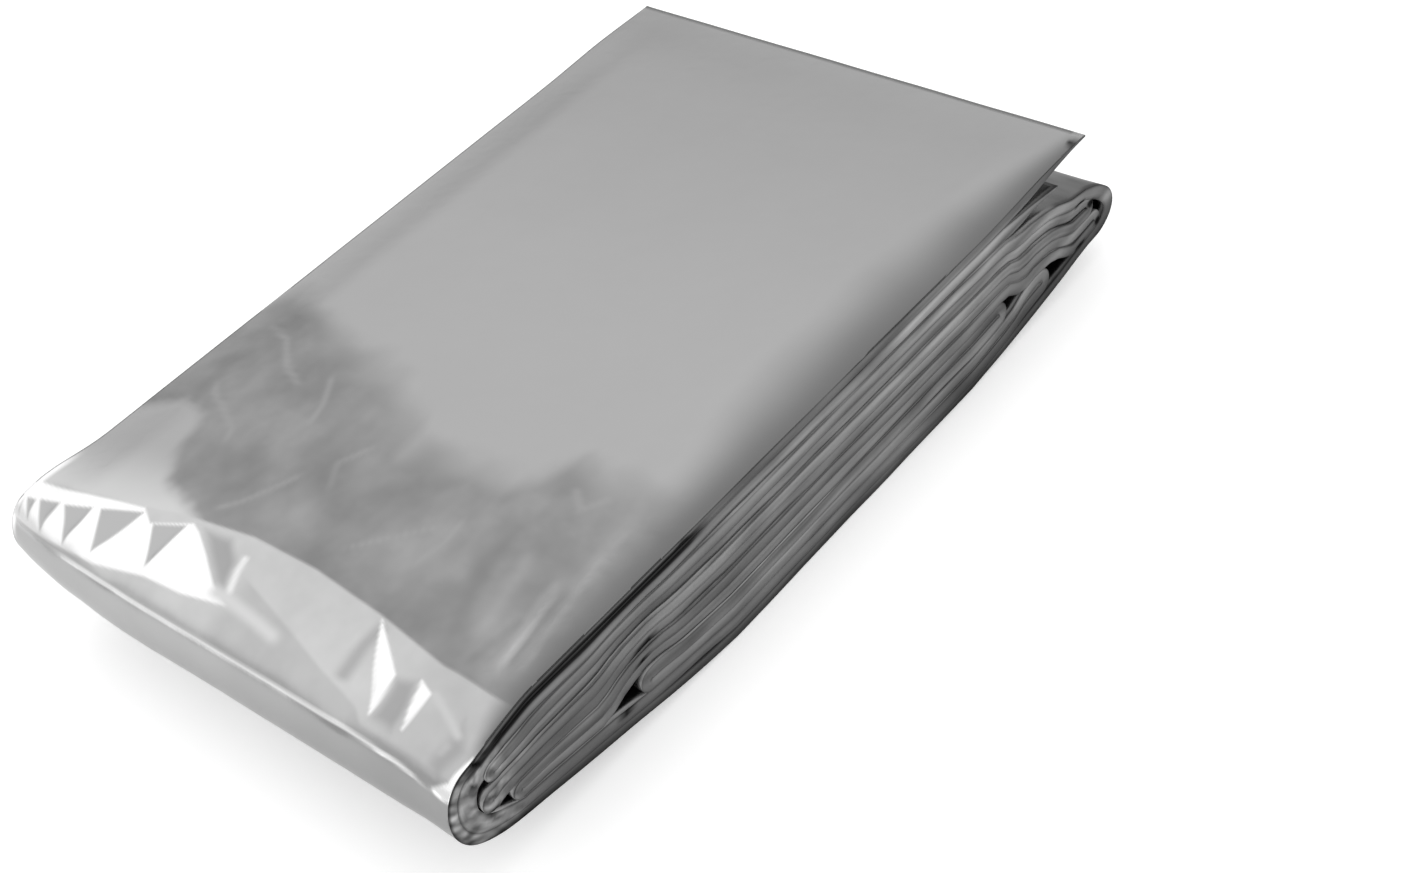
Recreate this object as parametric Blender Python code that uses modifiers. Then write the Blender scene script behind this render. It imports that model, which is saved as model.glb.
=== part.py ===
"""Emergency foil blanket, folded, at its real size.

The film is pleated into a strip about 80 mm wide, and the strip is laid back and forth in twelve
layers that are a little apart. The outer layer is one cover: it runs from its free back edge over
the top, down the front slope, round the front nose and back along the floor. It then turns up
round the back of the bundle and ends, after ten more layers, in a second cover under the first.

Sizes in this file are in millimetres and are turned into metres where the mesh is made.
Frame: +Y runs from the front nose to the back, +X to the right, +Z up. The origin is in the middle
of the underside of the model's box, so the floor is at z = 0.
"""

import math

import bmesh
import bpy

METRES_PER_MM = 0.001

# Driving sizes
STRIP_WIDTH = 80.0
SHEET_THICKNESS = 1.2
PACK_HEIGHT = 23.0
LAYER_COUNT = 12
COVER_BACK_EDGE = 127.0
SECOND_COVER_BACK_EDGE = 120.0

# Heights of the middle of the sheet
FLOOR_LAYER = SHEET_THICKNESS / 2
TOP_LAYER = PACK_HEIGHT - SHEET_THICKNESS / 2

# The underside is flat in the middle and lifts towards both ends
FLAT_FROM = 46.0
FLAT_TO = 97.0
FRONT_LIFT = 5.8
FRONT_LIFT_AT = 9.0
FRONT_LIFT_POWER = 1.15
BACK_LIFT = 4.3
BACK_LIFT_AT = 126.0
BACK_LIFT_POWER = 1.2

# The cover slopes down to the front crease
SLOPE_FROM = 15.0
SLOPE_GRADE = 0.21
SLOPE_ROUNDING = 3.0

# Behind the middle the bundle sinks away below the two covers
SINK_FROM = 88.0
SINK_AT = 128.0
SINK_DEPTH = 4.7
SINK_POWER = 2.2
SECOND_COVER_SHARE = 0.5

# A fold's neighbours begin to close up this far beyond its tip
CLOSING_CLEARANCE = 1.0
BULGE_LENGTH = 5.0

# The second layer from the top takes more room towards the nose
SECOND_WRAP_ROOM = 0.35
SECOND_WRAP_UP_TO = 10.0
SECOND_WRAP_FADES_OVER = 12.0

# Layers are counted upwards from 0 on the floor to 11, the cover.
# The strip passes through them in this order, from the cover's free edge to the second cover's.
# right: how far the strip's edges stand to the right there
RUNS = (
    {"layer": 11, "right": 0.0},
    {"layer": 0, "right": -0.5},
    {"layer": 9, "right": 0.3},
    {"layer": 8, "right": -0.2},
    {"layer": 7, "right": 0.35},
    {"layer": 6, "right": -0.15},
    {"layer": 5, "right": 0.25},
    {"layer": 4, "right": -0.35},
    {"layer": 3, "right": 0.2},
    {"layer": 2, "right": -0.3},
    {"layer": 1, "right": -0.1},
    {"layer": 10, "right": -0.25},
)

# The small folds inside the bundle.
# tip: where the middle of the sheet turns round; closing: length over which its neighbours close up
# behind it; bulge: how much wider than a layer it stands there
FOLDS = (
    {"end": "front", "upper": 9, "lower": 8, "tip": 9.2, "closing": 8.0, "bulge": 0.0},
    {"end": "front", "upper": 7, "lower": 6, "tip": 4.8, "closing": 8.0, "bulge": 0.1},
    {"end": "front", "upper": 5, "lower": 4, "tip": 9.4, "closing": 6.0, "bulge": 0.0},
    {"end": "front", "upper": 3, "lower": 2, "tip": 28.6, "closing": 8.0, "bulge": 0.3},
    {"end": "back", "upper": 8, "lower": 7, "tip": 124.5, "closing": 8.0, "bulge": 0.0},
    {"end": "back", "upper": 6, "lower": 5, "tip": 128.0, "closing": 8.0, "bulge": 0.0},
    {"end": "back", "upper": 4, "lower": 3, "tip": 105.2, "closing": 6.0, "bulge": 0.0},
    {"end": "back", "upper": 2, "lower": 1, "tip": 115.5, "closing": 8.0, "bulge": 0.2},
)

# The two big turns, as points on the middle of the sheet that a smooth curve runs through
FRONT_NOSE = (
    {"y": 9.0, "z": 21.2},
    {"y": 5.0, "z": 20.4},
    {"y": 2.2, "z": 19.7},
    {"y": 0.5, "z": 18.0},
    {"y": -0.3, "z": 15.4},
    {"y": -0.2, "z": 12.6},
    {"y": 0.9, "z": 10.2},
    {"y": 2.8, "z": 8.5},
    {"y": 5.6, "z": 7.2},
    {"y": 9.0, "z": 6.4},
)
BACK_NOSE = (
    {"y": 126.0, "z": 4.9},
    {"y": 129.2, "z": 5.4},
    {"y": 131.2, "z": 6.6},
    {"y": 131.9, "z": 8.2},
    {"y": 131.3, "z": 10.0},
    {"y": 129.2, "z": 11.8},
    {"y": 126.0, "z": 13.1},
)
NOSE_PITCH = 1.75

# Places along the length where every layer has its points
LENGTH_STEPS = (12.0, 16.0, 21.0, 27.0, 34.0, 46.0, 72.0, 97.0, 105.0, 108.5, 112.0, 118.0, 123.0)
STEP_CLEARANCE = 1.5
BEND_STEPS = 5
# Places across the width
WIDTH_STEPS = (-40.0, -36.0, -31.0, -26.0, -21.0, -10.0, 12.0, 22.0, 30.0, 36.0, 40.0)

# The film rolls down along both long edges
ROLL_WIDTH = 9.0
RIGHT_ROLL = 1.0
LEFT_ROLL = 0.5
# towards the cover's back edge the film lies level again
ROLL_FADES_FROM = 100.0
ROLL_FADES_OVER = 25.0

# The front slope starts nearer the nose at the left end
LEFT_SLOPE_SHIFT = 8.0
LEFT_SLOPE_WIDTH = 28.0
# The front left corner is rounded as seen from above
CORNER_WIDTH = 9.0
CORNER_SETBACK = 0.8
FRONT_ZONE = 30.0

# Dents along the front crease; x: place, depth: how far the film is pushed in, half: half width
DENTS = (
    {"x": -31.0, "depth": 0.3, "half": 5.0},
    {"x": -21.0, "depth": 0.4, "half": 6.0},
    {"x": 22.0, "depth": 0.4, "half": 8.0},
)
DENT_Y = 4.5
DENT_Z = 20.0
DENT_REACH = 7.0

FILM_COLOUR = (0.62, 0.62, 0.63, 1.0)
FILM_ROUGHNESS = 0.22


def smooth(value):
    """Ease from 0 to 1."""
    share = min(max(value, 0.0), 1.0)
    return share * share * (3.0 - 2.0 * share)


def bump(distance):
    """A soft hump, 1 in the middle and 0 from a distance of 1 outwards."""
    return smooth(1.0 - abs(distance))


def slope_drop(y, start):
    """How far the cover has come down at y when its slope starts at start."""
    below = start - y
    if below <= 0.0:
        return 0.0
    if below < SLOPE_ROUNDING:
        return SLOPE_GRADE * below * below / (2.0 * SLOPE_ROUNDING)
    return SLOPE_GRADE * (below - SLOPE_ROUNDING / 2.0)


def floor_height(y):
    """Middle of the lowest layer."""
    if y < FLAT_FROM:
        share = (FLAT_FROM - y) / (FLAT_FROM - FRONT_LIFT_AT)
        return FLOOR_LAYER + FRONT_LIFT * share ** FRONT_LIFT_POWER
    if y > FLAT_TO:
        share = (y - FLAT_TO) / (BACK_LIFT_AT - FLAT_TO)
        return FLOOR_LAYER + BACK_LIFT * share ** BACK_LIFT_POWER
    return FLOOR_LAYER


def cover_height(y):
    """Middle of the cover, without what differs across the width."""
    return TOP_LAYER - slope_drop(y, SLOPE_FROM)


def past_tip(fold, y):
    """Distance of y beyond the tip of a fold, negative inside it."""
    if fold["end"] == "front":
        return fold["tip"] - y
    return y - fold["tip"]


def layer_room(layer, y):
    """Room that a layer takes in the pile at y: 1, more at its own tip, none beyond it."""
    room = 1.0
    for fold in FOLDS:
        if layer in (fold["upper"], fold["lower"]):
            beyond = past_tip(fold, y)
            room *= 1.0 - smooth((beyond - CLOSING_CLEARANCE) / fold["closing"])
            room *= 1.0 + fold["bulge"] * bump((beyond + BULGE_LENGTH / 2.0) / BULGE_LENGTH)
    if layer == LAYER_COUNT - 2:
        room += SECOND_WRAP_ROOM * (1.0 - smooth((y - SECOND_WRAP_UP_TO) / SECOND_WRAP_FADES_OVER))
    return room


def layer_height(layer, y):
    """Middle of a layer at y, with the layers shared out between the floor and the cover."""
    rooms = [layer_room(each, y) for each in range(LAYER_COUNT)]
    places = [sum(rooms[:each]) + rooms[each] / 2.0 for each in range(LAYER_COUNT)]
    shares = [(place - places[0]) / (places[-1] - places[0]) for place in places]
    low = floor_height(y)
    full = cover_height(y) - low
    sink = SINK_DEPTH * max(0.0, (y - SINK_FROM) / (SINK_AT - SINK_FROM)) ** SINK_POWER
    bundle_top = LAYER_COUNT - 3
    if layer > bundle_top + 1:
        return low + full * shares[layer]
    if layer > bundle_top:
        return low + full * shares[layer] - SECOND_COVER_SHARE * sink
    bundle = full * shares[bundle_top]
    return low + full * shares[layer] * (bundle - sink) / bundle


def layer_ends(layer):
    """Where the straight part of a layer starts and ends along the length."""
    front = FRONT_NOSE[0]["y"]
    back = BACK_NOSE[0]["y"]
    for fold in FOLDS:
        if layer in (fold["upper"], fold["lower"]):
            if fold["end"] == "front":
                front = fold["tip"] + bend_reach(fold)
            else:
                back = fold["tip"] - bend_reach(fold)
    if layer == LAYER_COUNT - 1:
        back = COVER_BACK_EDGE
    if layer == LAYER_COUNT - 2:
        back = SECOND_COVER_BACK_EDGE
    return front, back


def bend_reach(fold):
    """Half the height of a small bend, so that it is round."""
    tip = fold["tip"]
    return (layer_height(fold["upper"], tip) - layer_height(fold["lower"], tip)) / 2.0


def run_points(layer, forwards):
    """Points of a layer from its start to its end, forwards meaning towards the back."""
    front, back = layer_ends(layer)
    inner = [y for y in LENGTH_STEPS if front + STEP_CLEARANCE < y < back - STEP_CLEARANCE]
    steps = [front] + inner + [back]
    points = [(y, layer_height(layer, y)) for y in steps]
    return points if forwards else points[::-1]


def bend_points(start, end, reach):
    """Half an ellipse between two layer ends, without the ends themselves."""
    middle_y = (start[0] + end[0]) / 2.0
    middle_z = (start[1] + end[1]) / 2.0
    half = (start[1] - end[1]) / 2.0
    points = []
    for step in range(1, BEND_STEPS):
        angle = math.pi * step / BEND_STEPS
        points.append((middle_y + reach * math.sin(angle), middle_z + half * math.cos(angle)))
    return points


def nose_points(rows, inset):
    """A big turn moved in by inset at right angles to its curve, without its end points."""
    points = [(row["y"], row["z"]) for row in rows]
    moved = []
    for before, here, after in zip(points, points[1:], points[2:]):
        along_y = after[0] - before[0]
        along_z = after[1] - before[1]
        length = math.hypot(along_y, along_z)
        moved.append((here[0] - inset * along_z / length, here[1] + inset * along_y / length))
    return moved


def section():
    """The whole back-and-forth path as rows of y, z and how far right the strip stands."""
    path = []
    for place, run in enumerate(RUNS):
        layer = run["layer"]
        forwards = place % 2 == 1
        points = run_points(layer, forwards)
        if place:
            before = RUNS[place - 1]
            path += turn_rows(before, run, path[-1], points[0], forwards)
        path += [(y, z, run["right"]) for y, z in points]
    return path


def turn_rows(before, after, start, end, at_front):
    """The turn between two runs, its strip moving from one run's place to the other's."""
    pair = {before["layer"], after["layer"]}
    if pair == {LAYER_COUNT - 1, 0}:
        points = nose_points(FRONT_NOSE, 0.0)
    elif pair == {LAYER_COUNT - 2, 1}:
        points = nose_points(FRONT_NOSE, NOSE_PITCH)[::-1]
    elif pair == {LAYER_COUNT - 3, 0}:
        points = nose_points(BACK_NOSE, 0.0)
    else:
        reach = abs(start[1] - end[1]) / 2.0
        points = bend_points(start, end, -reach if at_front else reach)
    rows = []
    for step, (y, z) in enumerate(points):
        share = (step + 1) / (len(points) + 1)
        right = before["right"] + (after["right"] - before["right"]) * share
        rows.append((y, z, right))
    return rows


def settle(x, y, z):
    """Move a point of the even pile to where the film really lies, all layers together."""
    height_share = z / TOP_LAYER
    right_share = smooth((x - STRIP_WIDTH / 2 + ROLL_WIDTH) / ROLL_WIDTH)
    left_share = smooth((-x - STRIP_WIDTH / 2 + ROLL_WIDTH) / ROLL_WIDTH)
    roll = RIGHT_ROLL * right_share + LEFT_ROLL * left_share
    roll *= 1.0 - smooth((y - ROLL_FADES_FROM) / ROLL_FADES_OVER)
    moved_z = z - roll * height_share ** 2

    slope_left = smooth((-x - STRIP_WIDTH / 2 + LEFT_SLOPE_WIDTH) / LEFT_SLOPE_WIDTH)
    later = SLOPE_FROM - LEFT_SLOPE_SHIFT * slope_left
    lift = slope_drop(y, SLOPE_FROM) - slope_drop(y, later)
    moved_z += lift * height_share ** 2

    front_share = smooth((FRONT_ZONE - y) / FRONT_ZONE)
    corner = max(0.0, (-x - STRIP_WIDTH / 2 + CORNER_WIDTH) / CORNER_WIDTH)
    moved_y = y + CORNER_SETBACK * corner ** 2 * front_share

    for dent in DENTS:
        across = bump((x - dent["x"]) / dent["half"])
        near = bump(math.hypot(y - DENT_Y, z - DENT_Z) / DENT_REACH)
        push = dent["depth"] * across * near
        moved_y += push / 2.0
        moved_z -= push
    return x, moved_y, moved_z


def place_point(column, row):
    """Where a point of the flat strip lies in the folded blanket, in millimetres."""
    y, z, right = row
    return settle(column + right, y, z)


def film_mesh():
    """The strip starts as a flat grid and each of its rows is laid on the section."""
    path = section()
    columns = WIDTH_STEPS
    sheet = bmesh.new()
    bmesh.ops.create_grid(sheet, x_segments=len(columns) - 1, y_segments=len(path) - 1, size=0.5)
    for vertex in sheet.verts:
        column = round((vertex.co.x + 0.5) * (len(columns) - 1))
        row = round((vertex.co.y + 0.5) * (len(path) - 1))
        vertex.co = place_point(columns[column], path[row])
    across = [vertex.co.x for vertex in sheet.verts]
    along = [vertex.co.y for vertex in sheet.verts]
    to_middle = (-(min(across) + max(across)) / 2.0, -(min(along) + max(along)) / 2.0, 0.0)
    bmesh.ops.translate(sheet, verts=sheet.verts, vec=to_middle)
    bmesh.ops.scale(sheet, verts=sheet.verts, vec=(METRES_PER_MM,) * 3)
    mesh = bpy.data.meshes.new("blanket")
    sheet.to_mesh(mesh)
    sheet.free()
    mesh.shade_smooth()
    return mesh


def film_material():
    """Bright metallised film."""
    material = bpy.data.materials.new("film")
    material.use_nodes = True
    shader = material.node_tree.nodes["Principled BSDF"]
    shader.inputs["Base Color"].default_value = FILM_COLOUR
    shader.inputs["Metallic"].default_value = 1.0
    shader.inputs["Roughness"].default_value = FILM_ROUGHNESS
    return material


def build_blanket(collection):
    """One folded sheet of film with its thickness."""
    blanket = bpy.data.objects.new("blanket", film_mesh())
    blanket.data.materials.append(film_material())
    thickness = blanket.modifiers.new("thickness", "SOLIDIFY")
    thickness.thickness = SHEET_THICKNESS * METRES_PER_MM
    thickness.offset = 0.0
    thickness.use_even_offset = True
    collection.objects.link(blanket)
    return blanket


def clear_scene():
    for item in list(bpy.context.scene.objects):
        bpy.data.objects.remove(item)


def main():
    clear_scene()
    collection = bpy.data.collections.new("foil_blanket")
    bpy.context.scene.collection.children.link(collection)
    build_blanket(collection)


main()
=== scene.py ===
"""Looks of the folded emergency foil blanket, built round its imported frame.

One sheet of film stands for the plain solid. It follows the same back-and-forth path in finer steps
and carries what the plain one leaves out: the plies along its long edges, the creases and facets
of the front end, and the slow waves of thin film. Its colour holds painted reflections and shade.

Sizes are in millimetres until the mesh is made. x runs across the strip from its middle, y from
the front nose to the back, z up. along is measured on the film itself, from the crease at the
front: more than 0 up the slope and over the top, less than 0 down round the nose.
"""

import math

import bpy
import numpy
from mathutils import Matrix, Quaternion, Vector, noise


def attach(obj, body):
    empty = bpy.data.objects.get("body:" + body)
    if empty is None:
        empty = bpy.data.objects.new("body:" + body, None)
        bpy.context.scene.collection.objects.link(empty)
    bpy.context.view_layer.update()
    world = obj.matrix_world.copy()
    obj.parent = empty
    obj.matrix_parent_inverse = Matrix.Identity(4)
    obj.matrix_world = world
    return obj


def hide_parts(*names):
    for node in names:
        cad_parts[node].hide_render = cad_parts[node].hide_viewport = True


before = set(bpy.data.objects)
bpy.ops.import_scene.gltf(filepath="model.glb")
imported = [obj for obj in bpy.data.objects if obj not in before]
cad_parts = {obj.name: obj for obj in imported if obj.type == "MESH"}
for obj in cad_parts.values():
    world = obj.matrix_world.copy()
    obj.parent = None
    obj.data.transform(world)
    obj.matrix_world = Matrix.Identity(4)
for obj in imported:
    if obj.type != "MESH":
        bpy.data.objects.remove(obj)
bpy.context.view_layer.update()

METRES_PER_MM = 0.001

# Driving sizes of the folded strip, as in the solid
STRIP_WIDTH = 80.0
SHEET_THICKNESS = 1.2
PACK_HEIGHT = 23.0
LAYER_COUNT = 12
COVER_BACK_EDGE = 127.0
SECOND_COVER_BACK_EDGE = 120.0
FLOOR_LAYER = SHEET_THICKNESS / 2
TOP_LAYER = PACK_HEIGHT - SHEET_THICKNESS / 2

# The underside is flat in the middle and lifts towards both ends
FLAT_FROM = 46.0
FLAT_TO = 97.0
FRONT_LIFT = 5.8
FRONT_LIFT_AT = 9.0
FRONT_LIFT_POWER = 1.15
BACK_LIFT = 4.3
BACK_LIFT_AT = 126.0
BACK_LIFT_POWER = 1.2

# The cover slopes down to the front crease
SLOPE_FROM = 15.0
SLOPE_GRADE = 0.21
SLOPE_ROUNDING = 3.0

# Behind the middle the bundle sinks away below the two covers
SINK_FROM = 88.0
SINK_AT = 128.0
SINK_DEPTH = 4.7
SINK_POWER = 2.2
SECOND_COVER_SHARE = 0.5

# A fold's neighbours begin to close up this far beyond its tip
CLOSING_CLEARANCE = 1.0
BULGE_LENGTH = 5.0

# The second layer from the top takes more room towards the nose
SECOND_WRAP_ROOM = 0.35
SECOND_WRAP_UP_TO = 10.0
SECOND_WRAP_FADES_OVER = 12.0

# The strip passes through its layers in this order, counted upwards from 0 on the floor
RUNS = (
    {"layer": 11, "right": 0.0},
    {"layer": 0, "right": -0.5},
    {"layer": 9, "right": 0.3},
    {"layer": 8, "right": -0.2},
    {"layer": 7, "right": 0.35},
    {"layer": 6, "right": -0.15},
    {"layer": 5, "right": 0.25},
    {"layer": 4, "right": -0.35},
    {"layer": 3, "right": 0.2},
    {"layer": 2, "right": -0.3},
    {"layer": 1, "right": -0.1},
    {"layer": 10, "right": -0.25},
)
# Some tips lie up to 3.2 mm from the solid's, so that the openings beside them are as small as shown
FOLDS = (
    {"end": "front", "upper": 9, "lower": 8, "tip": 6.0, "closing": 8.0, "bulge": 0.0},
    {"end": "front", "upper": 7, "lower": 6, "tip": 4.5, "closing": 8.0, "bulge": 0.1},
    {"end": "front", "upper": 5, "lower": 4, "tip": 8.6, "closing": 6.0, "bulge": 0.0},
    {"end": "front", "upper": 3, "lower": 2, "tip": 30.0, "closing": 7.0, "bulge": 0.3},
    {"end": "back", "upper": 8, "lower": 7, "tip": 127.0, "closing": 8.0, "bulge": 0.0},
    {"end": "back", "upper": 6, "lower": 5, "tip": 128.5, "closing": 8.0, "bulge": 0.0},
    {"end": "back", "upper": 4, "lower": 3, "tip": 105.2, "closing": 4.5, "bulge": 0.0},
    {"end": "back", "upper": 2, "lower": 1, "tip": 115.5, "closing": 6.5, "bulge": 0.2},
)

# The two big turns, as points on the middle of the film that a smooth curve runs through
FRONT_NOSE = (
    {"y": 9.0, "z": 21.2},
    {"y": 5.0, "z": 20.4},
    {"y": 2.2, "z": 19.7},
    {"y": 0.5, "z": 18.0},
    {"y": -0.3, "z": 15.4},
    {"y": -0.2, "z": 12.6},
    {"y": 0.9, "z": 10.2},
    {"y": 2.8, "z": 8.5},
    {"y": 5.6, "z": 7.2},
    {"y": 9.0, "z": 6.4},
)
BACK_NOSE = (
    {"y": 126.0, "z": 4.9},
    {"y": 129.2, "z": 5.4},
    {"y": 131.2, "z": 6.6},
    {"y": 131.9, "z": 8.2},
    {"y": 131.3, "z": 10.0},
    {"y": 129.2, "z": 11.8},
    {"y": 126.0, "z": 13.1},
)
NOSE_PITCH = 1.75
CREASE_ROW = 3

# The film rolls down along both long edges, less towards the cover's back edge
ROLL_WIDTH = 9.0
RIGHT_ROLL = 1.0
LEFT_ROLL = 0.5
ROLL_FADES_FROM = 100.0
ROLL_FADES_OVER = 25.0

# The front slope starts nearer the nose at the left end, and that corner is rounded
LEFT_SLOPE_SHIFT = 8.0
LEFT_SLOPE_WIDTH = 28.0
CORNER_WIDTH = 9.0
CORNER_SETBACK = 0.8
FRONT_ZONE = 30.0
# its lower part stands back further
LOW_CORNER_WIDTH = 22.0
LOW_CORNER_SETBACK = 2.4
LOW_CORNER_TOP = 17.0
LOW_CORNER_OVER = 9.0

# The cover's left edge stands out a little where it turns down at the front
LEFT_FLARE = 1.8
FLARE_WIDTH = 9.0
FLARE_AT = 3.0
FLARE_REACH = 15.0

# Dents along the front crease
DENTS = (
    {"x": -31.0, "depth": 0.3, "half": 5.0},
    {"x": -21.0, "depth": 0.4, "half": 6.0},
    {"x": 22.0, "depth": 0.4, "half": 8.0},
)
DENT_Y = 4.5
DENT_Z = 20.0
DENT_REACH = 7.0

# How finely the film is divided: up to each place y, points this far apart
COVER_STEPS = ((16.0, 0.25), (54.0, 0.8), (119.0, 3.0), (127.0, 0.8))
TIP_ZONE = 7.0
TIP_STEP = 0.8
RUN_STEP = 2.0
COVER_NOSE_STEP = 0.27
NOSE_STEP = 0.8
BEND_STEPS = 10
# Columns of the cover's face, finer at the left where the small facets are
FINE_COLUMNS = ((-12.0, 0.25), (36.5, 0.48), (39.5, 0.25))
COARSE_COLUMNS = (-39.5, -38.4, -36.0, -32.0, -20.0, 0.0, 20.0, 32.0, 36.0, 38.4, 39.5)
# The fine columns end here, on the underside behind the nose
FINE_UNTIL_ALONG = -24.0

# Thickness of the film's plies: full in the middle, less near the ends and at the free edges
HALF_THICKNESS = 0.6
MIDDLE_SWELL = 0.14
SWELL_FROM = 34.0
SWELL_TO = 104.0
SWELL_OVER = 14.0
FREE_EDGE_HALF = 0.16
FREE_EDGE_OVER = 14.0

# Along both long edges the plies swell into a bead that all but meets the next layer's
BEAD_ZONE = 6.0
BEAD_GAP = 0.0
BEAD_MOST = 1.05
BACK_BEAD_MOST = 0.8
BACK_BEAD_FROM = 110.0
BACK_BEAD_OVER = 10.0
FACE_GAP = 0.12
# only the cover stands off the bundle, along the front part of its right edge
COVER_GAP_TO = 41.0
COVER_GAP_OVER = 5.0
COVER_LIP = 0.5
# the painted shadow line below it starts at the nose
GAP_LINE_FROM = 1.5
GAP_LINE_OVER = 2.5
# inside the two noses the plies spread and take most of the open room
NOSE_FILL = 0.9
UPPER_NOSE_FILL = 0.9
UPPER_NOSE = {"from": 0.45, "over": 0.3}

# The long edges: rounded plies, and a slow waviness of each layer
EDGE_ROUND = 0.10
EDGE_POWER = 2.6
# Where an edge has its points, from 1 at the upper corner of its plies to -1 at the lower
EDGE_PLACES = (0.985, 0.66, 0.33, 0.0, -0.33, -0.66, -0.985)
PLY_COUNT = 2
PLY_DEPTH = 0.02
STREAK_COUNT = 6
STREAK_LENGTH = 16.0
STREAK_DEPTH = 0.02
RIGHT_SHARE = 0.5
EDGE_WAVE = 0.18
EDGE_WAVE_LENGTH = 30.0
EDGE_RIPPLE = 0.06
EDGE_RIPPLE_LENGTH = 7.0
EDGE_WAVE_ZONE = 6.0
# the cover has only a small share of the waves
COVER_WAVE_SHARE = 0.25
COVER_IS_CALM = {"from": 0.2, "over": 0.6}
PLY_DRIFT = 1.2
RIGHT_SEED = 1.0
RIPPLE_SEED = 2.0
LEFT_SEED = 3.0
PHASE_SEED = 4.0
STREAK_SEED = 10.0

# Noise comes between about -0.6 and 0.6, and each seed has its own part of it
NOISE_GAIN = 1.6
WANDER_SEED_STEP = 7.31
FIELD_SEED_STEP = 3.7


def smooth(value):
    """Ease from 0 to 1."""
    share = numpy.clip(value, 0.0, 1.0)
    return share * share * (3.0 - 2.0 * share)


def bump(distance):
    """A soft hump, 1 in the middle and 0 from a distance of 1 outwards."""
    return smooth(1.0 - numpy.abs(distance))


def eased(value, change):
    """Ease from 0 where a change starts to 1 where it is over; it runs downwards if over is below 0."""
    return smooth((value - change["from"]) / change["over"])


def across_border(distance, width):
    """Ease from 0 to 1 over a soft border of some width."""
    return smooth(distance / width + 0.5)


def mixed(base, other, share):
    return base + (other - base) * share


def wander(seed, places, length):
    """Slow noise between about -1 and 1 along places, one wave in about length."""
    row = seed * WANDER_SEED_STEP
    return numpy.array([noise.noise((place / length, row, 0.5)) * NOISE_GAIN for place in places])


# Section of the folded strip


def slope_drop(y, start):
    """How far the cover has come down at y when its slope starts at start."""
    below = numpy.maximum(0.0, start - y)
    rounded = SLOPE_GRADE * below * below / (2.0 * SLOPE_ROUNDING)
    straight = SLOPE_GRADE * (below - SLOPE_ROUNDING / 2.0)
    return numpy.where(below < SLOPE_ROUNDING, rounded, straight)


def floor_height(y):
    """Middle of the lowest layer."""
    front = numpy.maximum(0.0, (FLAT_FROM - y) / (FLAT_FROM - FRONT_LIFT_AT))
    back = numpy.maximum(0.0, (y - FLAT_TO) / (BACK_LIFT_AT - FLAT_TO))
    return FLOOR_LAYER + FRONT_LIFT * front ** FRONT_LIFT_POWER + BACK_LIFT * back ** BACK_LIFT_POWER


def layer_room(layer, y):
    """Room that a layer takes in the pile at y: 1, more at its own tip, none beyond it."""
    room = numpy.ones_like(y)
    for fold in FOLDS:
        if layer in (fold["upper"], fold["lower"]):
            beyond = fold["tip"] - y if fold["end"] == "front" else y - fold["tip"]
            room = room * (1.0 - smooth((beyond - CLOSING_CLEARANCE) / fold["closing"]))
            room = room * (1.0 + fold["bulge"] * bump((beyond + BULGE_LENGTH / 2.0) / BULGE_LENGTH))
    if layer == LAYER_COUNT - 2:
        room = room + SECOND_WRAP_ROOM * (1.0 - smooth((y - SECOND_WRAP_UP_TO) / SECOND_WRAP_FADES_OVER))
    return room


def layer_height(layer, y):
    """Middle of a layer at y, with the layers shared out between the floor and the cover."""
    y = numpy.asarray(y, dtype=float)
    rooms = [layer_room(each, y) for each in range(LAYER_COUNT)]
    places = [sum(rooms[:each], numpy.zeros_like(y)) + rooms[each] / 2.0 for each in range(LAYER_COUNT)]
    shares = [(place - places[0]) / (places[-1] - places[0]) for place in places]
    low = floor_height(y)
    full = TOP_LAYER - slope_drop(y, SLOPE_FROM) - low
    sink = SINK_DEPTH * numpy.maximum(0.0, (y - SINK_FROM) / (SINK_AT - SINK_FROM)) ** SINK_POWER
    bundle_top = LAYER_COUNT - 3
    if layer > bundle_top + 1:
        return low + full * shares[layer]
    if layer > bundle_top:
        return low + full * shares[layer] - SECOND_COVER_SHARE * sink
    bundle = full * shares[bundle_top]
    return low + full * shares[layer] * (bundle - sink) / bundle


def bend_reach(fold):
    """Half the height of a small bend, so that it is round."""
    upper = layer_height(fold["upper"], fold["tip"])
    lower = layer_height(fold["lower"], fold["tip"])
    return float(upper - lower) / 2.0


def layer_ends(layer):
    """Where the straight part of a layer starts and ends along the length."""
    front = FRONT_NOSE[0]["y"]
    back = BACK_NOSE[0]["y"]
    for fold in FOLDS:
        if layer in (fold["upper"], fold["lower"]):
            if fold["end"] == "front":
                front = fold["tip"] + bend_reach(fold)
            else:
                back = fold["tip"] - bend_reach(fold)
    if layer == LAYER_COUNT - 1:
        back = COVER_BACK_EDGE
    if layer == LAYER_COUNT - 2:
        back = SECOND_COVER_BACK_EDGE
    return front, back


def spaced(start, stops):
    """Places from start through each stop, at most the stop's step apart."""
    places = [start]
    for stop, step in stops:
        if stop <= places[-1]:
            continue
        count = math.ceil((stop - places[-1]) / step)
        places += list(numpy.linspace(places[-1], stop, count + 1)[1:])
    return numpy.array(places)


def run_line(place):
    """Points (y, z) of one run, in the order in which the strip takes them."""
    layer = RUNS[place]["layer"]
    front, back = layer_ends(layer)
    stops = ((front + TIP_ZONE, TIP_STEP), (back - TIP_ZONE, RUN_STEP), (back, TIP_STEP))
    if layer == LAYER_COUNT - 1:
        stops = COVER_STEPS
    y = spaced(front, stops)
    line = numpy.stack([y, layer_height(layer, y)], axis=1)
    return line if place % 2 == 1 else line[::-1]


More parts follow.
